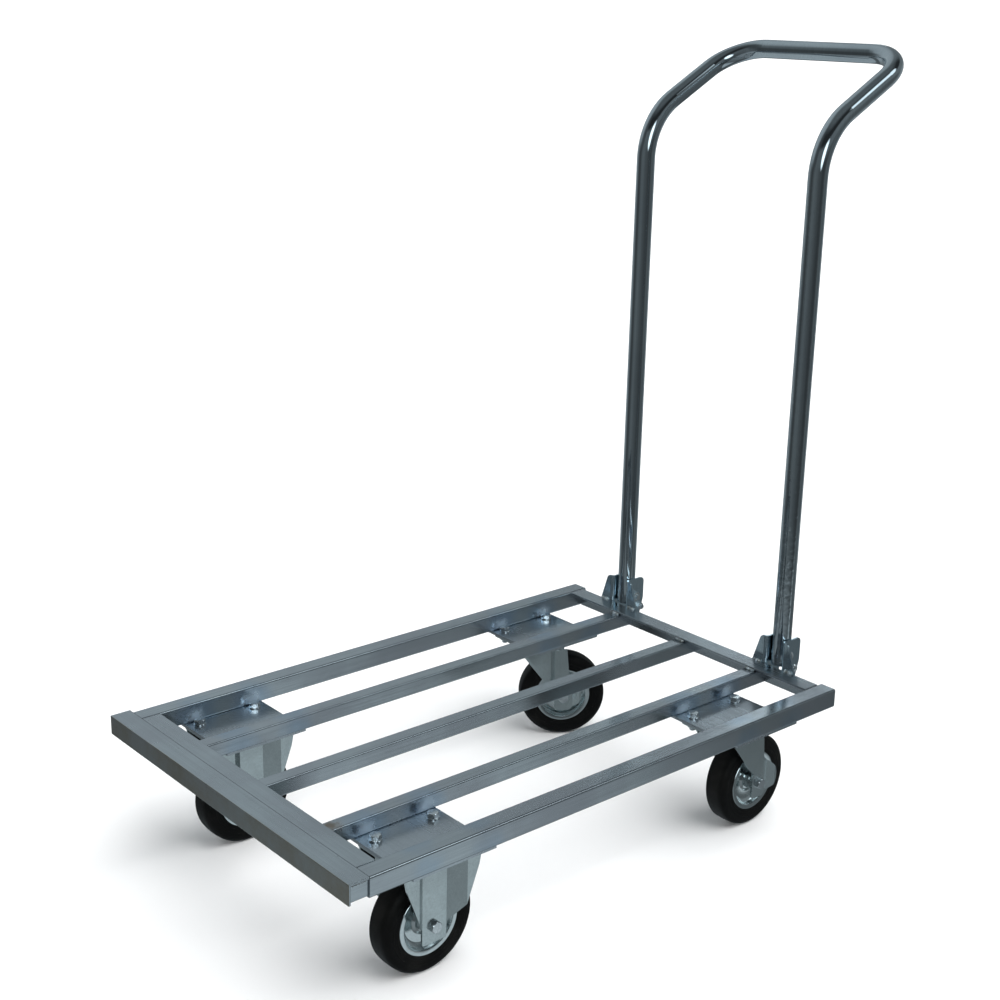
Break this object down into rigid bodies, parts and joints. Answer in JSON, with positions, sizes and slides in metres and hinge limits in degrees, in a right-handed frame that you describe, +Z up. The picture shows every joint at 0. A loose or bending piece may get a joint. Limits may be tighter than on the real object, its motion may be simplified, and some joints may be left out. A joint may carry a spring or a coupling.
{
  "type": "folding platform cart",
  "caption": "Slatted steel platform cart with a folding tube push handle, a pull-out front bar, fixed front casters and swivel rear casters.",
  "frame": {"origin": "on the floor under the middle of the whole cart's box", "axes": "+Z up, +X from the front bar towards the handle, +Y towards the side rail named left"},
  "size_m": [0.9703, 0.5052, 0.9905],
  "materials": {
    "frame_zinc": "satin blue-grey bright zinc plating",
    "bracket_zinc": "bright zinc plating on pressed sheet",
    "handle_chrome": "bright plated round tube",
    "caster_zinc": "satin light grey zinc plating",
    "fastener_zinc": "bright zinc plated fasteners",
    "bearing_steel": "ground steel, lightly greased",
    "rim_zinc": "bright zinc plated pressed disc",
    "weld_metal": "plated weld bead",
    "rubber_tyre": "matt black rubber"
  },
  "bodies": {
    "frame": {"left_side_rail": "frame_zinc", "right_side_rail": "frame_zinc", "left_slat": "frame_zinc", "middle_slat": "frame_zinc", "right_slat": "frame_zinc", "front_cross_angle": "frame_zinc", "rear_cross_angle": "frame_zinc", "left_handle_bracket": "bracket_zinc", "right_handle_bracket": "bracket_zinc", "handle_pivot_bolts": "fastener_zinc", "handle_pivot_nuts": "fastener_zinc", "bracket_tie_bolts": "fastener_zinc", "bracket_tie_nuts": "fastener_zinc", "slide_stop_screws": "fastener_zinc", "front_left_mount_plate": "frame_zinc", "front_right_mount_plate": "frame_zinc", "rear_left_mount_plate": "frame_zinc", "rear_right_mount_plate": "frame_zinc", "mount_bolts": "fastener_zinc", "mount_washers": "fastener_zinc", "mount_nuts": "fastener_zinc", "front_left_fork": "caster_zinc", "front_right_fork": "caster_zinc", "front_axle_bolts": "fastener_zinc", "front_axle_nuts": "fastener_zinc", "front_axle_sleeves": "bearing_steel", "rear_left_swivel_plate": "caster_zinc", "rear_left_king_pin": "bearing_steel", "rear_right_swivel_plate": "caster_zinc", "rear_right_king_pin": "bearing_steel"},
    "handle": {"handle_tube": "handle_chrome"},
    "extension": {"bumper_angle": "frame_zinc", "left_slide_bar": "frame_zinc", "right_slide_bar": "frame_zinc", "bumper_weld_beads": "weld_metal"},
    "rear_left_swivel": {"rear_left_fork": "caster_zinc", "rear_left_bearing_balls": "bearing_steel", "rear_left_axle_bolt": "fastener_zinc", "rear_left_axle_nut": "fastener_zinc", "rear_left_axle_sleeve": "bearing_steel"},
    "rear_right_swivel": {"rear_right_fork": "caster_zinc", "rear_right_bearing_balls": "bearing_steel", "rear_right_axle_bolt": "fastener_zinc", "rear_right_axle_nut": "fastener_zinc", "rear_right_axle_sleeve": "bearing_steel"},
    "front_left_wheel": {"front_left_tyre": "rubber_tyre", "front_left_rim": "rim_zinc", "front_left_roller_bearing": "bearing_steel"},
    "front_right_wheel": {"front_right_tyre": "rubber_tyre", "front_right_rim": "rim_zinc", "front_right_roller_bearing": "bearing_steel"},
    "rear_left_wheel": {"rear_left_tyre": "rubber_tyre", "rear_left_rim": "rim_zinc", "rear_left_roller_bearing": "bearing_steel"},
    "rear_right_wheel": {"rear_right_tyre": "rubber_tyre", "rear_right_rim": "rim_zinc", "rear_right_roller_bearing": "bearing_steel"}
  },
  "joints": [
    {"name": "handle_fold", "type": "hinge", "parent": "frame", "child": "handle", "pos_m": [0.30265, 0, 0.1975], "axis": [0, -1, 0], "range_deg": [0, 90]},
    {"name": "extension_slide", "type": "slide", "parent": "frame", "child": "extension", "axis": [-1, 0, 0], "range_m": [0, 0.25]},
    {"name": "front_left_wheel_spin", "type": "hinge", "parent": "frame", "child": "front_left_wheel", "pos_m": [-0.34175, 0.186, 0.0625], "axis": [0, 1, 0], "continuous": true},
    {"name": "front_right_wheel_spin", "type": "hinge", "parent": "frame", "child": "front_right_wheel", "pos_m": [-0.34175, -0.186, 0.0625], "axis": [0, 1, 0], "continuous": true},
    {"name": "rear_left_swivel_turn", "type": "hinge", "parent": "frame", "child": "rear_left_swivel", "pos_m": [0.16425, 0.186, 0.155], "axis": [0, 0, 1], "continuous": true},
    {"name": "rear_left_wheel_spin", "type": "hinge", "parent": "rear_left_swivel", "child": "rear_left_wheel", "pos_m": [0.19327, 0.16643, 0.0625], "axis": [0.5592, 0.829, 0], "continuous": true},
    {"name": "rear_right_swivel_turn", "type": "hinge", "parent": "frame", "child": "rear_right_swivel", "pos_m": [0.16425, -0.186, 0.155], "axis": [0, 0, 1], "continuous": true},
    {"name": "rear_right_wheel_spin", "type": "hinge", "parent": "rear_right_swivel", "child": "rear_right_wheel", "pos_m": [0.19924, -0.18508, 0.0625], "axis": [-0.0262, 0.9997, 0], "continuous": true}
  ]
}
